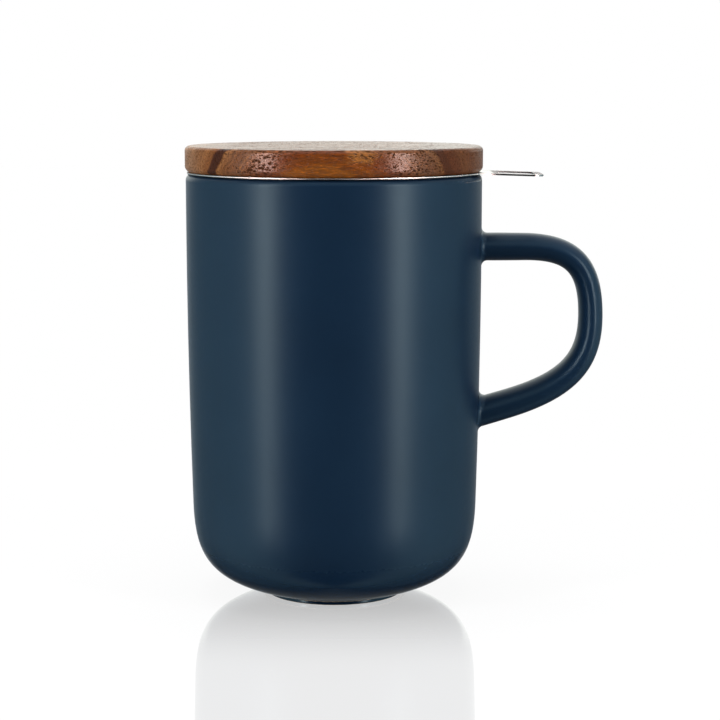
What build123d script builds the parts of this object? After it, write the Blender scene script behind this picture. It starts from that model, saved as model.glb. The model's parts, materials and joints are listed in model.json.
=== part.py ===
"""Lidded tea mug with a hanging infuser basket.

Millimetres. The origin is the middle of the foot ring on the table, +Z is up
and +X points out through the handle.
"""

import os
from math import cos, hypot, radians, sin

from build123d import *

# ---------------------------------------------------------------- mug body
mug_radius = 42.6  # outside, at the mouth
mug_height = 122.45  # table to the top of the lip
mug_wall = 4.2
lip_round = 1.8
waist_height = 109.0  # above this the wall is upright
taper = 1.2  # radius lost between the waist and the shoulder
shoulder_height = 26.9  # where the wall turns under
turn_fullness = 0.79  # how far the turn reaches into its corner
underside_angle = 14.0  # rise of the underside next to the foot
mug_floor = 4.8
well_radius = 19.0  # flat middle of the inside floor
well_fullness = 0.75
inner_shoulder_rise = 2.0  # how much later the inside turns

foot_radius = 20.0
foot_height = 1.15
foot_width = 3.2
foot_round = 0.4

# ---------------------------------------------------------------- handle
handle_top = 101.35  # centre line of the level stretch
handle_grip_height = 81.05  # where it stands out furthest
handle_reach = 31.8  # from the wall to the centre line there
handle_arm = 12.1  # level stretch before the upper bend
handle_foot_run = 7.2  # straight stretch at the lower end
handle_foot_height = 55.2  # centre line, at the end of that stretch
handle_foot_angle = 16.7
handle_fullness = 0.733  # how far the bends reach into their corners
handle_width = 13.0
handle_arm_thickness = 7.9
handle_grip_thickness = 6.95
handle_foot_thickness = 8.35
handle_root_round = 1.7
handle_root_share = 0.75  # of the wall, how deep the root is drawn
slip_joint = 0.02  # handle to wall

# ---------------------------------------------------------------- infuser
sheet = 0.5
rim_lap = 0.4  # the rim stops this far inside the mug's outside
mouth_gap = 1.0  # collar to the inside of the mug
collar_height = 7.0  # upright stretch the lid plugs into
collar_step = 2.1  # how far the collar is drawn in below that, at 45 degrees
skirt_height = 6.0  # where the basket is welded in
press_bend = 1.0  # radius on the outside of the collar's bends
infuser_depth = 90.0  # below the mug's lip

tab_reach = 17.1  # past the mug's outside
tab_width = 21.2
tab_end_round = 3.5
tab_root_round = 10.0
tab_side_strip = 2.9  # metal left beside the lifting hole
tab_end_strip = 2.3  # metal left at its outer end
tab_hole_start = 4.4  # past the mug's outside
tab_hole_round = 1.8
tab_bend_start = 0.8  # past the mug's outside
tab_bend_radius = 12.0
tab_droop = 1.8  # degrees

slot_width = 1.0
slots_around = 40
slot_rows = 5
slot_row_gap = 3.2  # solid band between rows
slot_margin = 3.0  # plain wall above and below the slots

pan_height = 5.0
pan_bend = 2.0
pan_slot_width = 1.0
pan_rings = 3
pan_ring_gap = 3.0
pan_first_ring = 5.0  # inner end of the first ring of slots
pan_first_count = 12
pan_more_slots = 10  # more in each ring than in the one inside it

# ---------------------------------------------------------------- lid
lid_overhang = 0.2  # past the mug's outside
lid_thickness = 7.5
lid_top_round = 1.3
lid_under_round = 1.8
plug_depth = 6.0
plug_gap = 1.2  # wood to the collar
plug_round = 0.8
groove_depth = 2.4
groove_height = 2.6
seal_gap = 0.05  # lips to the collar
seal_lip = 0.7
seal_overhang = 0.35  # seal body past the wood

# ---------------------------------------------------------------- derived
shoulder_radius = mug_radius - taper
mouth_radius = mug_radius - mug_wall
well_height = foot_height + mug_floor

rim_radius = mug_radius - rim_lap
rim_top = mug_height + sheet
tab_tip = mug_radius + tab_reach
collar_outer = mouth_radius - mouth_gap
collar_inner = collar_outer - sheet
rim_flat_start = collar_outer + 2 * press_bend
skirt_outer = collar_outer - collar_step
basket_outer = skirt_outer - sheet
basket_inner = basket_outer - sheet
step_top = mug_height - collar_height
step_bottom = step_top - collar_step
skirt_bottom = step_bottom - skirt_height
basket_bottom = mug_height - infuser_depth

lid_radius = mug_radius + lid_overhang
plug_radius = collar_inner - plug_gap
groove_radius = plug_radius - groove_depth
groove_bottom = rim_top - plug_depth / 2 - groove_height / 2


def revolved(profile):
    """A full turn of a face drawn in the XZ plane, with its seam away from the handle."""
    return Rot(Z=180) * revolve(Plane.XZ * profile, Axis.Z)


def ring(inner, outer, bottom, top):
    """A rectangle in the XZ plane between two radii and two heights."""
    middle = ((inner + outer) / 2, (bottom + top) / 2)
    return Pos(*middle) * Rectangle(outer - inner, top - bottom)


def pressed(corners, bend, side):
    """A bent strip of sheet metal in the XZ plane, drawn along one face of it."""
    path = FilletPolyline(*corners, radius=bend)
    return make_face(offset(path, amount=sheet, side=side))


# ---------------------------------------------------------------- mug
def wall_line(end_radius, end_height, end_angle, inset, turn_height, fullness):
    """The wall from the waist down, its turn, and the point where it ends.

    The end lies on the underside or on the inside floor, and end_angle is
    how steeply the line runs into it.
    """
    waist = Vector(mug_radius - inset, waist_height)
    shoulder = Vector(shoulder_radius - inset, turn_height)
    end = Vector(end_radius, end_height)
    side = TangentArc(waist, shoulder, tangent=(0, -1))
    down = side % 1
    out = Vector(cos(radians(end_angle)), sin(radians(end_angle)))
    run = (shoulder.X - end.X) / out.X
    drop = shoulder.Y - end.Y - run * out.Y
    turn = Bezier(
        shoulder,
        shoulder + down * (fullness * drop),
        end + out * (fullness * run),
        end,
    )
    return side + turn


def outer_profile(outset=0.0):
    """Everything inside the mug's outside, or a little more."""
    outline = wall_line(foot_radius, foot_height, underside_angle, -outset, shoulder_height, turn_fullness)
    closing = Polyline(
        (foot_radius, foot_height),
        (0, foot_height),
        (0, mug_height),
        (mug_radius + outset, mug_height),
        (mug_radius + outset, waist_height),
    )
    return make_face(outline + closing)


def inner_profile():
    """The hollow, run out past the lip."""
    turn_height = shoulder_height + inner_shoulder_rise
    outline = wall_line(well_radius, well_height, 0, mug_wall, turn_height, well_fullness)
    closing = Polyline(
        (well_radius, well_height),
        (0, well_height),
        (0, mug_height + lip_round),
        (mouth_radius, mug_height + lip_round),
        (mouth_radius, waist_height),
    )
    return make_face(outline + closing)


def mug_body():
    body = revolved(outer_profile()) - revolved(inner_profile())
    lip = body.edges().group_by(Axis.Z)[-1]
    body = fillet(lip, lip_round)
    foot = revolved(ring(foot_radius - foot_width, foot_radius, 0, foot_height))
    foot = fillet(foot.edges().group_by(Axis.Z)[0], foot_round)
    return body + foot


def handle_lines():
    """The centre line of the handle, from the wall around to the wall again."""
    root = mug_radius - handle_root_share * mug_wall
    slope = Vector(cos(radians(handle_foot_angle)), sin(radians(handle_foot_angle)))
    bend_start = Vector(mug_radius + handle_arm, handle_top)
    grip = Vector(mug_radius + handle_reach, handle_grip_height)
    bend_end = Vector(mug_radius + handle_foot_run, handle_foot_height)
    run = (grip.X - bend_end.X) / slope.X
    corner_height = bend_end.Y + run * slope.Y
    upper_bend = Bezier(
        bend_start,
        bend_start + Vector(handle_fullness * (grip.X - bend_start.X), 0),
        grip + Vector(0, handle_fullness * (bend_start.Y - grip.Y)),
        grip,
    )
    lower_bend = Bezier(
        grip,
        grip - Vector(0, handle_fullness * (grip.Y - corner_height)),
        bend_end + slope * (handle_fullness * run),
        bend_end,
    )
    arm = Line((root, handle_top), bend_start)
    leg = Line(bend_end, bend_end - slope * ((bend_end.X - root) / slope.X))
    return [arm, upper_bend, lower_bend, leg]


def handle_strap():
    """The strap on its own, with an oval section that is thinnest at the grip."""
    arm, upper_bend, lower_bend, leg = handle_lines()
    stations = [
        (arm, 0, handle_arm_thickness),
        (arm, 1, handle_arm_thickness),
        (upper_bend, 1, handle_grip_thickness),
        (lower_bend, 1, handle_foot_thickness),
        (leg, 1, handle_foot_thickness),
    ]
    sections = []
    for line, end, thickness in stations:
        plane = Plane(origin=line @ end, x_dir=(0, 0, 1), z_dir=line % end)
        sections.append(plane * Ellipse(handle_width / 2, thickness / 2))
    path = Wire((arm + upper_bend + lower_bend + leg).edges())
    return Plane.XZ * sweep(sections, path=path, multisection=True)


def on_wall(edge):
    """Whether an edge lies on the mug's outside, next to the handle."""
    middle = edge @ 0.5
    near = abs(middle.Y) <= handle_width / 2 + 0.01
    return near and middle.X > 0 and hypot(middle.X, middle.Y) <= mug_radius + 0.001


def mug_handle():
    """The strap handle, with its roots flared onto the wall."""
    joined = revolved(outer_profile()) + handle_strap()
    roots = [e for e in joined.edges() if on_wall(e)]
    flared = fillet(roots, handle_root_round)
    return flared - revolved(outer_profile(slip_joint))


# ---------------------------------------------------------------- infuser
def tab_outline(start, end, width, outer_round, inner_round):
    """A rectangle along +X with rounded corners, seen from above."""
    plan = Pos((start + end) / 2, 0) * Rectangle(end - start, width)
    plan = fillet(plan.vertices().group_by(Axis.X)[-1], outer_round)
    if inner_round:
        plan = fillet(plan.vertices().group_by(Axis.X)[0], inner_round)
    return plan


def tab_plan():
    return tab_outline(rim_radius / 2, tab_tip, tab_width, tab_end_round, 0)


def tab_hole():
    """The lifting hole, between a strip at each side and one at the end."""
    return tab_outline(
        mug_radius + tab_hole_start,
        tab_tip - tab_end_strip,
        tab_width - 2 * tab_side_strip,
        tab_hole_round,
        tab_hole_round,
    )


def rim_plan():
    """The pressed rim with its tab, seen from above."""
    plan = Circle(rim_radius) + tab_plan()
    corners = [v for v in plan.vertices() if abs(hypot(v.X, v.Y) - rim_radius) < 0.001]
    plan = fillet([v for v in corners if v.X > 0 and abs(v.Y) > 0.001], tab_root_round)
    return plan - Circle(rim_flat_start) - tab_hole()


def bent_line(height, bend_radius):
    """One side of the sheet, level over the mug and then bent down."""
    level_end = (mug_radius + tab_bend_start, height)
    bend = JernArc(level_end, (1, 0), bend_radius, -tab_droop)
    level = Line((-mug_radius, height), level_end)
    return level + bend + Line(bend @ 1, bend @ 1 + (bend % 1) * tab_reach)


def bent_sheet():
    """The sheet that the rim and its tab are cut from."""
    under = bent_line(mug_height, tab_bend_radius)
    over = bent_line(rim_top, tab_bend_radius + sheet)
    ends = [Line(under @ 0, over @ 0), Line(under @ 1, over @ 1)]
    side = make_face(under + over + ends)
    return extrude(Plane.XZ * side, mug_radius, both=True)


def collar():
    """From the flat of the rim down to the skirt that holds the basket."""
    outside = [
        (rim_flat_start, mug_height),
        (collar_outer, mug_height),
        (collar_outer, step_top),
        (skirt_outer, step_bottom),
        (skirt_outer, skirt_bottom),
    ]
    return revolved(pressed(outside, press_bend, Side.RIGHT))


def infuser_rim():
    cut_out = Pos(Z=mug_height) * extrude(rim_plan(), tab_reach, both=True)
    return collar() + (bent_sheet() & cut_out)


def infuser_wall():
    """Rolled sheet tube with staggered rows of upright slots."""
    tube = revolved(ring(basket_inner, basket_outer, basket_bottom + pan_bend, step_bottom))
    low = basket_bottom + pan_height + slot_margin
    pitch = (skirt_bottom - slot_margin - low + slot_row_gap) / slot_rows
    slot = Box(4 * sheet, slot_width, pitch - slot_row_gap)
    slots = []
    for row in range(slot_rows):
        middle = low + (row + 0.5) * pitch - slot_row_gap / 2
        stagger = 180 / slots_around * (row % 2)
        for place in PolarLocations(basket_outer, slots_around, start_angle=stagger):
            slots.append(Pos(Z=middle) * place * slot)
    return tube - slots


def infuser_base():
    """Shallow pressed pan with rings of radial slots."""
    side = [
        (0, basket_bottom),
        (basket_inner, basket_bottom),
        (basket_inner, basket_bottom + pan_height),
    ]
    pan = revolved(pressed(side, pan_bend, Side.LEFT))
    flat = basket_inner - pan_bend
    pitch = (flat - pan_first_ring) / pan_rings
    slot = Box(pitch - pan_ring_gap, pan_slot_width, 4 * sheet)
    slots = []
    for ring_number in range(pan_rings):
        middle = pan_first_ring + (ring_number + 0.5) * pitch - pan_ring_gap / 2
        count = pan_first_count + ring_number * pan_more_slots
        for place in PolarLocations(middle, count):
            slots.append(Pos(Z=basket_bottom) * place * slot)
    return pan - slots


# ---------------------------------------------------------------- lid
def lid_disc():
    """Turned wooden disc with a plug and a groove for the seal."""
    disc = revolved(ring(0, lid_radius, rim_top, rim_top + lid_thickness))
    rims = disc.edges().filter_by(GeomType.CIRCLE).sort_by(Axis.Z)
    disc = fillet(rims[-1:], lid_top_round)
    disc = fillet(disc.edges().group_by(Axis.Z)[0], lid_under_round)
    plug = revolved(ring(0, plug_radius, rim_top - plug_depth, rim_top))
    plug = fillet(plug.edges().group_by(Axis.Z)[0], plug_round)
    groove = revolved(
        ring(groove_radius, 2 * plug_radius, groove_bottom, groove_bottom + groove_height)
    )
    return disc + (plug - groove)


def lid_seal():
    """Silicone ring in the groove, with two thin lips against the collar."""
    seal_outer = plug_radius + seal_overhang
    lip_outer = collar_inner - seal_gap
    groove_top = groove_bottom + groove_height
    profile = ring(groove_radius, seal_outer, groove_bottom, groove_top)
    profile += ring(seal_outer, lip_outer, groove_bottom, groove_bottom + seal_lip)
    profile += ring(seal_outer, lip_outer, groove_top - seal_lip, groove_top)
    return revolved(profile)


os.makedirs("parts", exist_ok=True)
nodes = {
    "mug_body": mug_body(),
    "mug_handle": mug_handle(),
    "infuser_rim": infuser_rim(),
    "infuser_wall": infuser_wall(),
    "infuser_base": infuser_base(),
    "lid_disc": lid_disc(),
    "lid_seal": lid_seal(),
}
for name, shape in nodes.items():
    export_step(shape, f"parts/{name}.step")
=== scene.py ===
"""Looks of the lidded tea mug: glaze, wood, steel, silicone, light and camera.

Metres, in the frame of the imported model: the origin is the middle of the foot
ring, +Z is up and +X points out through the handle. Distances inside the four
finishes are in millimetres, because that is how the details are judged.
"""

import json
import math

import bpy
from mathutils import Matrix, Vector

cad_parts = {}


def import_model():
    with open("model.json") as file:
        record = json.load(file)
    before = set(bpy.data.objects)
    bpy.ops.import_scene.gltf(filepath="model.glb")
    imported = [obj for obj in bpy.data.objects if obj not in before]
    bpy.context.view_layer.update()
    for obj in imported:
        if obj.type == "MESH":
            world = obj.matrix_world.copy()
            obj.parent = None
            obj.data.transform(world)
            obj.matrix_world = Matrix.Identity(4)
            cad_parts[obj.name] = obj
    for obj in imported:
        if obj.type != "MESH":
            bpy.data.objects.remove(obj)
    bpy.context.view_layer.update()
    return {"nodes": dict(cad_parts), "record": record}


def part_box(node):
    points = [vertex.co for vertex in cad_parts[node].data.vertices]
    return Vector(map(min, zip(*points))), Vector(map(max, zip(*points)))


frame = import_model()

# ---------------------------------------------------------------- nodes
Socket = bpy.types.NodeSocket
MILLIMETRES = 1000.0  # in a metre


class Nodes:
    """Adds nodes to one tree, and gives back what comes out of them."""

    def __init__(self, tree):
        self.tree = tree

    def feed(self, socket, value):
        """Links a socket to another node's output, or sets its own value."""
        if isinstance(value, Socket):
            self.tree.links.new(value, socket)
        else:
            socket.default_value = value

    def put(self, kind, inputs=None, **settings):
        """A new node with its settings, and its inputs by name or number."""
        node = self.tree.nodes.new(kind)
        for name, value in settings.items():
            setattr(node, name, value)
        for name, value in (inputs or {}).items():
            self.feed(node.inputs[name], value)
        return node

    def dress(self, shader, **inputs):
        """Sets or links inputs of a shader, with _ for a space in their names."""
        for name, value in inputs.items():
            self.feed(shader.inputs[name.replace("_", " ")], value)

    def number(self, operation, *values):
        """The number that a Math node gives."""
        inputs = dict(enumerate(values))
        return self.put("ShaderNodeMath", inputs, operation=operation).outputs[0]

    def plus(self, first, second):
        return self.number("ADD", first, second)

    def minus(self, first, second):
        return self.number("SUBTRACT", first, second)

    def times(self, first, second):
        return self.number("MULTIPLY", first, second)

    def larger(self, first, second):
        return self.number("MAXIMUM", first, second)

    def size_of(self, value):
        """A number without its sign."""
        return self.number("ABSOLUTE", value)

    def from_axis(self, x, y):
        """Distance from the upright axis."""
        return self.number("SQRT", self.plus(self.times(x, x), self.times(y, y)))

    def vector(self, operation, *values):
        """The vector that a Vector Math node gives."""
        inputs = dict(enumerate(values))
        return self.put("ShaderNodeVectorMath", inputs, operation=operation).outputs[0]

    def stretched(self, vector, factors):
        """A vector multiplied axis by axis."""
        return self.vector("MULTIPLY", vector, factors)

    def scaled(self, vector, factor):
        """A vector multiplied by one number."""
        inputs = {0: vector, "Scale": factor}
        return self.put("ShaderNodeVectorMath", inputs, operation="SCALE").outputs[0]

    def length(self, vector):
        """The length of a vector."""
        node = self.put("ShaderNodeVectorMath", {0: vector}, operation="LENGTH")
        return node.outputs["Value"]

    def along(self, vector, direction):
        """How far a vector reaches along a direction."""
        inputs = {0: vector, 1: direction}
        node = self.put("ShaderNodeVectorMath", inputs, operation="DOT_PRODUCT")
        return node.outputs["Value"]

    def split(self, vector):
        """The x, y and z of a vector."""
        return self.put("ShaderNodeSeparateXYZ", {0: vector}).outputs

    def combined(self, x, y, z):
        """A vector from its x, y and z."""
        return self.put("ShaderNodeCombineXYZ", {0: x, 1: y, 2: z}).outputs[0]

    def remap(self, value, low, high, new_low, new_high, smooth=True):
        """A value moved from one range to another, and held inside it."""
        kind = "SMOOTHSTEP" if smooth else "LINEAR"
        inputs = {
            "Value": value,
            "From Min": low,
            "From Max": high,
            "To Min": new_low,
            "To Max": new_high,
        }
        node = self.put("ShaderNodeMapRange", inputs, interpolation_type=kind)
        return node.outputs["Result"]

    def rise(self, value, low, high, smooth=True):
        """0 below a range and 1 above it."""
        return self.remap(value, low, high, 0.0, 1.0, smooth)

    def fall(self, value, low, high):
        """1 below a range and 0 above it."""
        return self.remap(value, low, high, 1.0, 0.0)

    def noise(self, vector, scale=1.0, detail=2.0, roughness=0.5):
        """A smooth noise around a half."""
        inputs = {"Vector": vector, "Scale": scale, "Detail": detail, "Roughness": roughness}
        return self.put("ShaderNodeTexNoise", inputs).outputs[0]

    def bands(self, distance, scale, detail):
        """A noise around a half that changes along one distance only."""
        inputs = {"W": distance, "Scale": scale, "Detail": detail, "Roughness": 0.6}
        return self.put("ShaderNodeTexNoise", inputs, noise_dimensions="1D").outputs[0]

    def swing(self, noise, width):
        """A noise around a half turned into a distance to either side of zero."""
        return self.times(self.minus(noise, 0.5), width)

    def spots(self, vector, radius, edge):
        """Spots of this radius around scattered points: 1 inside them and 0 outside."""
        inputs = {"Vector": vector, "Scale": 1.0}
        node = self.put("ShaderNodeTexVoronoi", inputs, feature="F1")
        return self.rise(self.minus(radius, node.outputs["Distance"]), 0.0, edge)

    def ramp(self, value, stops):
        """A colour for each value, through stops of (place, colour)."""
        node = self.put("ShaderNodeValToRGB", {"Fac": value})
        elements = node.color_ramp.elements
        while len(elements) < len(stops):
            elements.new(0.5)
        for element, (place, colour) in zip(elements, stops):
            element.position = place
            element.color = (*colour, 1.0)
        return node.outputs["Color"]

    def blend(self, share, first, second, kind="MIX"):
        """Two colours mixed, by a share of the second."""
        node = self.put("ShaderNodeMix", data_type="RGBA", blend_type=kind)
        self.feed(node.inputs[0], share)
        for index, colour in ((6, first), (7, second)):
            value = colour if isinstance(colour, Socket) else (*colour, 1.0)
            self.feed(node.inputs[index], value)
        return node.outputs[2]

    def bumped(self, height, distance):
        """A normal from a height, of this many metres for each unit."""
        return self.put("ShaderNodeBump", {"Height": height, "Distance": distance}).outputs[0]


def surface(name):
    """A material, its nodes, its shader, and places on the object in millimetres."""
    material = bpy.data.materials.new(name)
    material.use_nodes = True
    nodes = Nodes(material.node_tree)
    shader = next(made for made in nodes.tree.nodes if made.type == "BSDF_PRINCIPLED")
    place = nodes.put("ShaderNodeTexCoord").outputs["Object"]
    return material, nodes, shader, nodes.scaled(place, MILLIMETRES)


def reach(node):
    """How far a node reaches along +Y and +Z, in millimetres, to a hundredth."""
    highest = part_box(node)[1] * MILLIMETRES
    return round(highest.y, 2), round(highest.z, 2)


MUG_RADIUS, LIP_HEIGHT = reach("mug_body")
RIM_RADIUS, _ = reach("infuser_rim")
_, LID_TOP = reach("lid_disc")

# ---------------------------------------------------------------- glaze
FOOT_HEIGHT = 1.15  # from the table to the mug's underside
MUG_WALL = 4.2
MOUTH_RADIUS = MUG_RADIUS - MUG_WALL
MOUTH_EDGE = (MOUTH_RADIUS + 0.2, MOUTH_RADIUS + 2.0)  # from the inside to the outside
ROOT_HIGHLIGHT_HEIGHT = FOOT_HEIGHT + 0.02  # height of the light line where the foot meets the body: a painted highlight in clay colour
CLAY_AND_HIGHLIGHT_EDGE = (0.10, 0.22)  # from the clay colour to whole glaze, at the sole and at the painted highlight
RAGGED_GLAZE_EDGE = 0.25  # how far the glaze's edge runs up and down
NAVY = [
    (0.30, (0.0034, 0.0118, 0.0290)),
    (0.52, (0.0040, 0.0138, 0.0330)),
    (0.74, (0.0048, 0.0158, 0.0362)),
]
NAVY_SPECKLE = (0.0062, 0.0190, 0.0400)
NAVY_SATIN = (0.33, 0.37)  # roughness
NAVY_TINT = (0.60, 0.93, 1.0, 1.0)  # of its gloss
NAVY_RELIEF = 0.000006  # metres
INSIDE_GLOSS = 0.16  # less rough than outside
CLAY = [(0.35, (0.30, 0.235, 0.18)), (0.65, (0.47, 0.39, 0.31))]
CLAY_ROUGHER = 0.35


def navy_glaze():
    """Satin navy glaze; clay on the sole, and a clay-coloured painted highlight where the foot
    meets the body.
    """
    material, n, shader, place = surface("navy_glaze")
    x, y, z = n.split(place)
    clouds = n.noise(place, 0.035, detail=3.0, roughness=0.55)
    speckle = n.noise(place, 2.6, roughness=0.6)
    glaze = n.ramp(clouds, NAVY)
    glaze = n.blend(n.remap(speckle, 0.35, 0.75, 0.0, 0.30), glaze, NAVY_SPECKLE)

    # the glaze draws back from the sole; where the foot meets the body, a clay-coloured line is
    # a painted highlight of the body's lower edge
    clay = n.ramp(n.noise(place, 1.7, detail=3.0, roughness=0.7), CLAY)
    height = n.plus(z, n.swing(n.noise(place, 0.45), RAGGED_GLAZE_EDGE))
    sole = n.fall(height, *CLAY_AND_HIGHLIGHT_EDGE)
    # painted highlight: the light line of the body's lower edge, drawn in clay colour
    root_highlight = n.remap(n.size_of(n.minus(height, ROOT_HIGHLIGHT_HEIGHT)), *CLAY_AND_HIGHLIGHT_EDGE, 0.85, 0.0)
    unglazed_and_highlight = n.larger(sole, root_highlight)

    # the inside is glossier than the outside
    inside = n.fall(n.from_axis(x, y), *MOUTH_EDGE)
    satin = n.noise(place, 0.9, detail=3.0)
    rough = n.remap(satin, 0.3, 0.7, *NAVY_SATIN, smooth=False)
    rough = n.minus(rough, n.times(inside, INSIDE_GLOSS))
    rough = n.plus(rough, n.times(unglazed_and_highlight, CLAY_ROUGHER))
    n.dress(
        shader,
        Base_Color=n.blend(unglazed_and_highlight, glaze, clay),
        Roughness=rough,
        IOR=1.5,
        Specular_IOR_Level=0.30,
        Specular_Tint=NAVY_TINT,
        Normal=n.bumped(n.noise(place, 1.3, detail=3.0), NAVY_RELIEF),
    )
    return material


# ---------------------------------------------------------------- wood
# places are taken from the middle of the lid's disc, and depths along GROWTH
DISC_HEIGHT = 7.5  # of the lid without its plug
LID_MIDDLE = (0.0, 0.0, LID_TOP - DISC_HEIGHT / 2)
TOP_FACE = (3.0, 3.6)  # height over which the side turns into the top face
GROWTH = (0.020, 0.872, 0.489)  # across the growth rings
LATE_BAND = -25.1  # depth of the dark ring
LATE_EDGE = (0.95, 1.5)  # from the dark ring's middle
REDDISH_EDGES = ((0.6, 1.6), (3.5, 6.5))  # after the dark ring, where it starts and ends
REDDISH_SIDE = (0.0, 20.0)  # along X, where it comes in
HEART_EDGE = (-33.0, -30.5)  # depths, from heartwood to sapwood
HEART_TONES = (-38.0, -30.5)  # depths, over which the heartwood's tones run
HEART_CORE = (-37.5, -35.0)  # depths, from few pores to many
RIGHT_SIDE = (20.0, 31.0)  # along X, where the right end darkens
LEFT_SIDE = (-39.5, -35.0)  # along X, where the left end is pale
END_GRAIN = (23.0, 33.0)  # to either side along X, where the side face is end grain
END_PORES = (26.0, 32.0)  # to either side along X, where the pores grow fewer
FLAME_PLACE = (8.6, -42.0, 2.4)
FLAME_SHARE = (0.14, 0.10, 0.26)  # of its reach, in a millimetre along each axis
FLAME_EDGE = (1.1, 1.6)
# how many times a noise changes in a millimetre, along each axis
SWING_RATE = (0.020, 0.050, 0.0)
WOBBLE_RATE = (0.14, 0.30, 0.30)
FLAME_RATE = (0.30, 0.55, 0.45)
FIBRE_RATE = (0.06, 2.1, 2.1)
FLECK_RATE = (0.5, 3.2, 3.2)
CROWD_RATE = (0.06, 0.22, 0.22)
WIDE_PORE_RATE = (0.45, 1.15, 1.15)
FINE_PORE_RATE = (0.75, 2.1, 2.1)
CROWDED = (0.32, 0.58)  # from few pores to many
WIDE_PORES = (0.20, 0.37)  # radius in the stretched pattern, from few pores to many
FINE_PORES = (0.26, 0.42)
SAPWOOD = [
    (0.32, (0.080, 0.024, 0.006)),
    (0.45, (0.145, 0.048, 0.012)),
    (0.57, (0.205, 0.080, 0.024)),
    (0.70, (0.290, 0.130, 0.046)),
]
HEARTWOOD = [
    (0.0, (0.205, 0.062, 0.005)),
    (0.35, (0.165, 0.037, 0.0025)),
    (0.62, (0.105, 0.019, 0.0015)),
    (1.0, (0.165, 0.048, 0.010)),
]
GROWTH_LINE = (0.070, 0.019, 0.004)
DARK_RING = (0.028, 0.0064, 0.0022)
REDDISH = (0.080, 0.021, 0.008)
RIGHT_END = (0.065, 0.020, 0.007)
LEFT_END = (0.290, 0.150, 0.068)
FLAME = (0.290, 0.112, 0.026)
FIBRE = (0.055, 0.015, 0.003)
FLECK = (1.9, 1.8, 1.6)  # times the tone under it
PORE = (0.022, 0.009, 0.005)
OILED_SATIN = (0.23, 0.31)  # roughness
PORE_ROUGHER = 0.4
END_ROUGHER = 0.1
OILED_GLOSS = (0.42, 0.12)  # from the rest of the lid to its end grain
PORE_GLOSS = 0.2  # times the gloss around a pore
TOP_RELIEF = 0.3  # times the side's: the top face is sanded finer
WOOD_RELIEF = 0.00007  # metres


def depths_of(n, place):
    """Depth across the growth rings, waved, and then also swung along the grain."""
    swing = n.noise(n.stretched(place, SWING_RATE))
    wobble = n.noise(n.stretched(place, WOBBLE_RATE), detail=3.0)
    waved = n.plus(n.along(place, GROWTH), n.swing(wobble, 1.6))
    return waved, n.plus(waved, n.swing(swing, 5.0))


def ring_tone(n, x, waved, swung):
    """Broad tones, fine lines and one dark ring near the front."""
    lines = n.bands(swung, 1.2, 3.0)
    tone = n.ramp(n.bands(swung, 0.17, 4.0), SAPWOOD)
    depth = n.rise(n.plus(waved, n.times(lines, 3.0)), *HEART_TONES)
    heart = n.times(n.fall(waved, *HEART_EDGE), 0.92)
    tone = n.blend(heart, tone, n.ramp(depth, HEARTWOOD))
    tone = n.blend(n.remap(lines, 0.42, 0.68, 0.0, 0.5), tone, GROWTH_LINE)

    after = n.minus(waved, LATE_BAND)
    late = n.remap(n.size_of(after), *LATE_EDGE, 0.95, 0.0)
    tone = n.blend(late, tone, DARK_RING)
    start, end = REDDISH_EDGES
    reddish = n.times(n.rise(after, *start), n.fall(after, *end))
    reddish = n.times(reddish, n.rise(x, *REDDISH_SIDE))
    tone = n.blend(n.times(reddish, 0.8), tone, REDDISH)
    tone = n.blend(n.remap(x, *RIGHT_SIDE, 0.0, 0.58), tone, RIGHT_END)
    return n.blend(n.remap(x, *LEFT_SIDE, 0.55, 0.0), tone, LEFT_END)


def flame_of(n, place):
    """A ragged patch right of the middle of the front: 1 in its middle, 0 outside."""
    away = n.stretched(n.vector("SUBTRACT", place, FLAME_PLACE), FLAME_SHARE)
    torn = n.noise(n.stretched(place, FLAME_RATE), detail=4.0, roughness=0.7)
    return n.fall(n.plus(n.length(away), n.times(torn, 1.6)), *FLAME_EDGE)


def pores_of(n, place, x, waved):
    """Pores along the grain, wide and fine, fewer in the heart and at the ends."""
    crowd = n.noise(n.stretched(place, CROWD_RATE))
    wide_radius = n.remap(crowd, *CROWDED, *WIDE_PORES)
    fine_radius = n.remap(crowd, *CROWDED, *FINE_PORES)
    wide = n.spots(n.stretched(place, WIDE_PORE_RATE), wide_radius, 0.07)
    fine = n.spots(n.stretched(place, FINE_PORE_RATE), fine_radius, 0.09)
    pores = n.larger(wide, n.times(fine, 0.75))
    pores = n.times(pores, n.remap(waved, *HEART_CORE, 0.35, 1.0))
    return n.times(pores, n.remap(n.size_of(x), *END_PORES, 1.0, 0.45))


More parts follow.
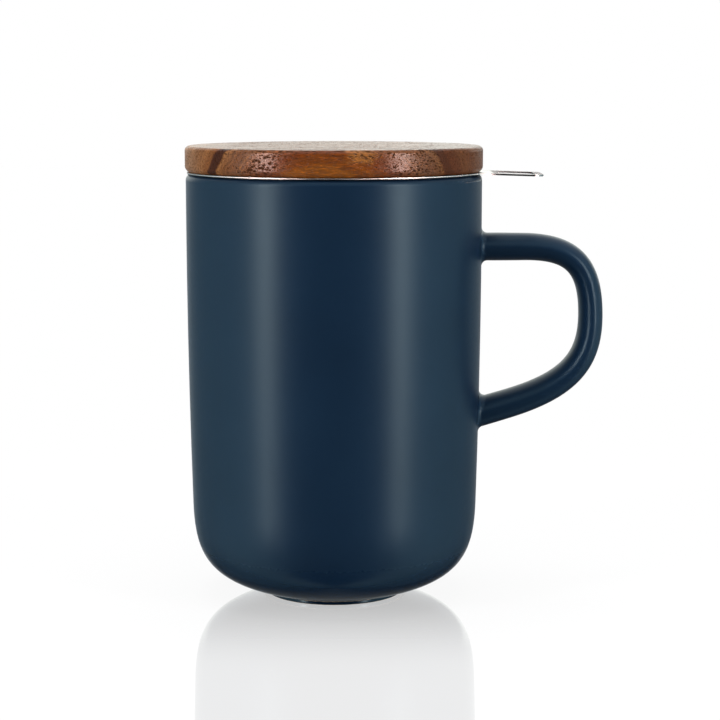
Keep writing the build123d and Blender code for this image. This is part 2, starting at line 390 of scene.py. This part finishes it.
def acacia():
    """Oiled acacia, sawn flat, with its grain along X."""
    material, n, shader, place = surface("acacia")
    place = n.vector("SUBTRACT", place, LID_MIDDLE)
    x, _, z = n.split(place)
    waved, swung = depths_of(n, place)
    tone = ring_tone(n, x, waved, swung)
    tone = n.blend(n.times(flame_of(n, place), 0.8), tone, FLAME)

    fibres = n.noise(n.stretched(place, FIBRE_RATE), detail=3.0, roughness=0.65)
    tone = n.blend(n.remap(fibres, 0.38, 0.74, 0.0, 0.6), tone, FIBRE)
    flecks = n.noise(n.stretched(place, FLECK_RATE), roughness=0.6)
    tone = n.blend(n.rise(flecks, 0.50, 0.75), tone, FLECK, kind="MULTIPLY")
    pores = pores_of(n, place, x, waved)
    tone = n.blend(n.times(pores, 0.8), tone, PORE)

    # end grain drinks the oil and stays duller, and pores don't shine
    end_grain = n.times(n.rise(n.size_of(x), *END_GRAIN), n.fall(z, *TOP_FACE))
    rough = n.remap(fibres, 0.3, 0.7, *OILED_SATIN)
    rough = n.plus(rough, n.times(pores, PORE_ROUGHER))
    rough = n.plus(rough, n.times(end_grain, END_ROUGHER))
    oiled = n.remap(end_grain, 0.0, 1.0, *OILED_GLOSS)
    gloss = n.times(oiled, n.remap(pores, 0.0, 1.0, 1.0, PORE_GLOSS))

    relief = n.minus(n.times(flecks, 0.5), pores)
    relief = n.times(relief, n.remap(z, *TOP_FACE, 1.0, TOP_RELIEF))
    n.dress(
        shader,
        Base_Color=tone,
        Roughness=rough,
        IOR=1.5,
        Specular_IOR_Level=gloss,
        Normal=n.bumped(relief, WOOD_RELIEF),
    )
    return material


# ---------------------------------------------------------------- steel
RIM_EDGE = (RIM_RADIUS - 0.3, RIM_RADIUS - 0.1)  # from the axis, to the sheared edge
SHADE_BAND_HEIGHTS = (LIP_HEIGHT + 0.17, LIP_HEIGHT + 0.27)  # height, from the painted shade below to bright steel above
TAB_CUT = (RIM_RADIUS - 1.2, RIM_RADIUS - 0.7)  # along X, where the sheared edge ends
TAB_START = (RIM_RADIUS - 0.7, RIM_RADIUS + 1.3)  # along X, from the rim to its tab
HOLE_START = (RIM_RADIUS + 2.8, RIM_RADIUS + 3.8)  # along X, where the tab's hole starts
HOLE_SIDE = (8.6, 9.0)  # to either side along Y, where it ends
CIRCLE_RATE = (7.0, 1.0, 7.0)  # from the axis, around it and up
LENGTHWAYS_RATE = (0.15, 9.0, 6.0)
STEEL = [(0.25, (0.64, 0.60, 0.575)), (0.75, (0.82, 0.775, 0.745))]
# near black: painted shade on the lower half of the rim's edge
PAINTED_SHADE_STEEL = (0.02, 0.02, 0.022)
TAB_STEEL = (0.64, 0.63, 0.65)  # times the steel's tint
STEEL_SATIN = (0.20, 0.32)  # roughness
SMEAR_ROUGHER = 0.07
EDGE_ROUGHER = 0.15
HOLE_ROUGHER = 0.35
STEEL_RELIEF = 0.000015  # metres


def brushed_steel():
    """Satin stainless steel, brushed around the axis, and along the tab."""
    material, n, shader, place = surface("steel")
    x, y, z = n.split(place)
    radius = n.from_axis(x, y)
    turned = n.combined(radius, n.times(n.number("ARCTAN2", y, x), 1.2), z)
    circles = n.noise(n.stretched(turned, CIRCLE_RATE), detail=3.0, roughness=0.7)
    lengthways = n.noise(n.stretched(place, LENGTHWAYS_RATE), detail=3.0, roughness=0.7)
    on_tab = n.rise(x, *TAB_START)
    mixed = {0: on_tab, 2: circles, 3: lengthways}
    strokes = n.put("ShaderNodeMix", mixed, data_type="FLOAT").outputs[0]
    smear = n.noise(place, 0.08, detail=3.0)
    tint = n.ramp(strokes, STEEL)
    rough = n.remap(strokes, 0.2, 0.8, *STEEL_SATIN)
    rough = n.plus(rough, n.remap(smear, 0.4, 0.7, 0.0, SMEAR_ROUGHER))

    # the sheared edge of the rim: bright steel above, and below it a painted shade of the
    # shadowed gap between the rim and the mug's lip
    edge = n.times(n.rise(radius, *RIM_EDGE), n.fall(x, *TAB_CUT))
    rough = n.plus(rough, n.times(edge, EDGE_ROUGHER))
    # painted shade: the lower half of the rim's edge darkened where the gap under it lies in
    # shadow
    painted_shade = n.times(edge, n.fall(z, *SHADE_BAND_HEIGHTS))
    tint = n.blend(painted_shade, tint, PAINTED_SHADE_STEEL)

    # the tab is greyer, and duller around its hole
    tint = n.blend(on_tab, tint, TAB_STEEL, kind="MULTIPLY")
    hole = n.times(n.rise(x, *HOLE_START), n.fall(n.size_of(y), *HOLE_SIDE))
    rough = n.plus(rough, n.times(hole, HOLE_ROUGHER))
    n.dress(
        shader,
        Base_Color=tint,
        Metallic=1.0,
        Roughness=rough,
        Normal=n.bumped(strokes, STEEL_RELIEF),
    )
    return material


# ---------------------------------------------------------------- silicone
MILKY = [(0.3, (0.60, 0.60, 0.575)), (0.7, (0.72, 0.72, 0.70))]
DUSTY_SATIN = (0.38, 0.52)  # roughness
DUST_RELIEF = 0.00001  # metres
MILKY_DEPTH = (0.002, 0.0018, 0.0016)  # metres, of red, green and blue light


def silicone():
    """Milky silicone with a soft, slightly dusty skin."""
    material, n, shader, place = surface("silicone")
    haze = n.noise(place, 0.22, detail=3.0)
    dust = n.noise(place, 3.5)
    n.dress(
        shader,
        Base_Color=n.ramp(haze, MILKY),
        Roughness=n.remap(dust, 0.3, 0.7, *DUSTY_SATIN),
        Subsurface_Weight=0.25,
        Subsurface_Radius=MILKY_DEPTH,
        Normal=n.bumped(dust, DUST_RELIEF),
    )
    return material


finishes = {
    "navy_glaze": navy_glaze(),
    "acacia": acacia(),
    "steel": brushed_steel(),
    "silicone": silicone(),
}
for part in frame["record"]["subparts"]:
    node = frame["nodes"][part["node"]]
    if not node.material_slots:
        node.data.materials.append(None)
    for slot in node.material_slots:
        slot.material = finishes[part["material_slot"]]

# ---------------------------------------------------------------- floor
FLOOR_SIZE = 6.0
FLOOR_PAINT = (0.85, 0.85, 0.86, 1.0)  # under the object's shadow
FLOOR_BOUNCE = (0.62, 0.62, 0.63, 1.0)  # as it lights the object from below
FLOOR_WHITE = (1.0, 1.0, 1.0, 1.0)
SHADOW_REACH = (0.08, 0.35)  # from the middle, to where the floor is plain white
SHADOW_WHITE = 0.86  # share of plain white in the middle
MIRROR_NEAR = (-0.085, -0.010)  # along Y, from the weak to the strong mirror
MIRROR_SHARES = (0.185, 0.42)
MIRROR_END = (-0.45, -0.25)  # along Y, where the mirror fades out


def floor_material():
    """White to the camera, with the object's shadow and a fading reflection."""
    material = bpy.data.materials.new("floor")
    material.use_nodes = True
    n = Nodes(material.node_tree)
    n.tree.nodes.clear()
    place = n.put("ShaderNodeTexCoord").outputs["Object"]
    _, y, _ = n.split(place)
    rays = n.put("ShaderNodeLightPath").outputs

    def mixed(share, first, second):
        return n.put("ShaderNodeMixShader", {0: share, 1: first, 2: second}).outputs[0]

    lit = n.put("ShaderNodeBsdfDiffuse", {"Color": FLOOR_PAINT}).outputs[0]
    white = n.put("ShaderNodeEmission", {"Color": FLOOR_WHITE, "Strength": 1.0}).outputs[0]
    plain = n.remap(n.length(place), *SHADOW_REACH, SHADOW_WHITE, 1.0)
    mirror = n.put("ShaderNodeBsdfGlossy", {"Color": FLOOR_WHITE, "Roughness": 0.0}).outputs[0]
    near = n.remap(y, *MIRROR_NEAR, *MIRROR_SHARES)
    fade = n.times(near, n.rise(y, *MIRROR_END))
    seen = mixed(fade, mixed(plain, lit, white), mirror)

    # gloss sees through the floor, to the room's own glow
    bounce = n.put("ShaderNodeBsdfDiffuse", {"Color": FLOOR_BOUNCE}).outputs[0]
    clear = n.put("ShaderNodeBsdfTransparent").outputs[0]
    unseen = mixed(rays["Is Glossy Ray"], bounce, clear)
    whole = mixed(rays["Is Camera Ray"], unseen, seen)
    n.put("ShaderNodeOutputMaterial", {"Surface": whole})
    return material


def floor():
    """A plain square floor under the object."""
    mesh = bpy.data.meshes.new("floor")
    half = FLOOR_SIZE / 2
    corners = [(-half, -half, 0.0), (half, -half, 0.0), (half, half, 0.0), (-half, half, 0.0)]
    mesh.from_pydata(corners, [], [(0, 1, 2, 3)])
    mesh.materials.append(floor_material())
    made = bpy.data.objects.new("floor", mesh)
    bpy.context.scene.collection.objects.link(made)


# ---------------------------------------------------------------- room
AMBIENT = (0.45, 0.45, 0.45)  # the world, as it lights matt surfaces
BLACK = (0.0, 0.0, 0.0)
WHITE = (1.0, 1.0, 1.0)
HALF_TURN = 180.0  # degrees, from the camera's side to the back
# the room as gloss shows it, by degrees from the camera's side
ROOM_GLOW = [
    (0.0, (0.020, 0.022, 0.025)),
    (24.0, (0.030, 0.034, 0.038)),
    (45.0, (0.18, 0.20, 0.22)),
    (62.0, (0.87, 0.99, 1.00)),
    (85.0, (0.70, 0.91, 0.94)),
    (105.0, (0.40, 0.57, 0.60)),
    (130.0, (0.18, 0.27, 0.30)),
    (150.0, (0.23, 0.30, 0.32)),
    (165.0, (0.60, 0.64, 0.67)),
    (180.0, (1.02, 1.09, 1.12)),
]
# turns count from 0 at the camera's side to 1 at the back. Sides, heights and
# depths are the X, Z and Y of a ray's direction, so they run from -1 to 1.
BEHIND = (0.75, 0.85)  # turns
BACK_SIDES = (-0.3, 0.3)
BACK_LEVELS = (1.2, 0.8)  # the back is brighter on the left
FADE_TURN = (0.55, 0.80)  # below the table the glow fades, and sooner at the back
FADE_STARTS = (-0.45, -0.16)  # heights
FADE_ENDS = (-0.90, -0.50)
FADE_LEVELS = (0.45, 0.14)  # what is left of the glow at the end
STRIP_GLOW = (20.6, 16.6, 15.8)  # upright strips of light, one on each side
STRIP_ANGLE = 53.0  # degrees from the camera's side
STRIP_EDGE = (2.0, 7.0)  # degrees from the strip's middle
STRIP_FOOT = (-0.40, 0.0)  # heights
CARD = (1.42, 1.49, 1.41)  # the white card behind the object, above the table
CARD_BACK = (0.70, 0.90)  # depths
CARD_FOOT = (-0.03, 0.02)  # heights
CARD_SIDES = (-0.04, 0.06)
CARD_LEVELS = (0.94, 1.16)  # the card is brighter on the right
CEILING = (0.8, 0.8, 0.8)
CEILING_EDGE = (0.35, 0.70)  # heights


def room_glow(n):
    """The room that gloss shows, by the direction of a ray."""
    direction = n.put("ShaderNodeTexCoord").outputs["Generated"]
    x, y, z = n.split(direction)
    angle = n.number("ARCTAN2", n.size_of(x), n.times(y, -1.0))
    turn = n.number("DIVIDE", angle, math.pi)
    glow = n.ramp(turn, [(degrees / HALF_TURN, colour) for degrees, colour in ROOM_GLOW])

    behind = n.rise(turn, *BEHIND)
    fade_start = n.remap(turn, *FADE_TURN, *FADE_STARTS)
    fade_end = n.remap(turn, *FADE_TURN, *FADE_ENDS)
    left_over = n.remap(behind, 0.0, 1.0, *FADE_LEVELS)
    glow = n.blend(n.remap(z, fade_end, fade_start, left_over, 1.0), BLACK, glow)
    level = n.remap(x, *BACK_SIDES, *BACK_LEVELS)
    glow = n.blend(behind, glow, n.combined(level, level, level), kind="MULTIPLY")

    aside = n.size_of(n.minus(turn, STRIP_ANGLE / HALF_TURN))
    strips = n.fall(aside, *(degrees / HALF_TURN for degrees in STRIP_EDGE))
    strips = n.times(strips, n.rise(z, *STRIP_FOOT, smooth=False))
    glow = n.blend(strips, glow, STRIP_GLOW)

    card = n.times(n.rise(y, *CARD_BACK), n.rise(z, *CARD_FOOT))
    glow = n.blend(card, glow, n.scaled(CARD, n.remap(x, *CARD_SIDES, *CARD_LEVELS)))
    return n.blend(n.rise(z, *CEILING_EDGE), glow, CEILING)


def world():
    """White behind everything the camera sees, and a dim room with soft lights for gloss."""
    made = bpy.data.worlds.new("studio")
    made.use_nodes = True
    bpy.context.scene.world = made
    n = Nodes(made.node_tree)
    n.tree.nodes.clear()
    rays = n.put("ShaderNodeLightPath").outputs
    unseen = n.blend(rays["Is Glossy Ray"], AMBIENT, room_glow(n))
    white = n.larger(rays["Is Camera Ray"], rays["Is Singular Ray"])
    white = n.larger(white, rays["Is Transmission Ray"])
    colour = n.blend(white, unseen, WHITE)
    background = n.put("ShaderNodeBackground", {"Color": colour, "Strength": 1.0})
    n.put("ShaderNodeOutputWorld", {"Surface": background.outputs[0]})


# ---------------------------------------------------------------- lamps and camera
STRIP_DISTANCE = 0.9
STRIP_WIDTH = 0.15
STRIP_HEIGHT = 0.9
STRIP_MIDDLE = 0.42  # above the table
CAMERA_PLACE = (0.00748, -0.6, 0.14975)
CAMERA_PITCH = 7.74  # degrees down
CAMERA_SENSOR = 36.0  # millimetres wide
CAMERA_LENS = 103.89  # millimetres


def softbox(name, position, target, width, height, watts):
    """A rectangular lamp that looks at a point. Neither the camera nor gloss sees it."""
    light = bpy.data.lights.new(name, "AREA")
    light.shape = "RECTANGLE"
    light.size = width
    light.size_y = height
    light.energy = watts
    made = bpy.data.objects.new(name, light)
    made.location = position
    aim = made.location - type(made.location)(target)
    made.rotation_euler = aim.to_track_quat("Z", "Y").to_euler()
    made.visible_camera = False
    made.visible_glossy = False
    bpy.context.scene.collection.objects.link(made)


def strip(name, side_angle, watts):
    """An upright strip lamp, turned from the camera's side by an angle in degrees."""
    turn = math.radians(side_angle)
    position = (STRIP_DISTANCE * math.sin(turn), -STRIP_DISTANCE * math.cos(turn), STRIP_MIDDLE)
    softbox(name, position, (0.0, 0.0, STRIP_MIDDLE), STRIP_WIDTH, STRIP_HEIGHT, watts)


def camera():
    """The photograph's view: a long lens, slightly above the rim."""
    data = bpy.data.cameras.new("camera")
    data.sensor_width = CAMERA_SENSOR
    data.lens = CAMERA_LENS
    data.clip_start = 0.01
    data.clip_end = 50.0
    made = bpy.data.objects.new("camera", data)
    made.location = CAMERA_PLACE
    made.rotation_euler = (math.radians(90.0 - CAMERA_PITCH), 0.0, 0.0)
    bpy.context.scene.collection.objects.link(made)
    bpy.context.scene.camera = made


world()
floor()
strip("left_strip", -52.0, watts=6.0)
strip("right_strip", 53.0, watts=5.6)
softbox("overhead", (0.0, 0.05, 0.95), (0.0, 0.0, 0.1), width=0.6, height=0.6, watts=6.0)
camera()
bpy.context.scene.view_settings.view_transform = "Standard"
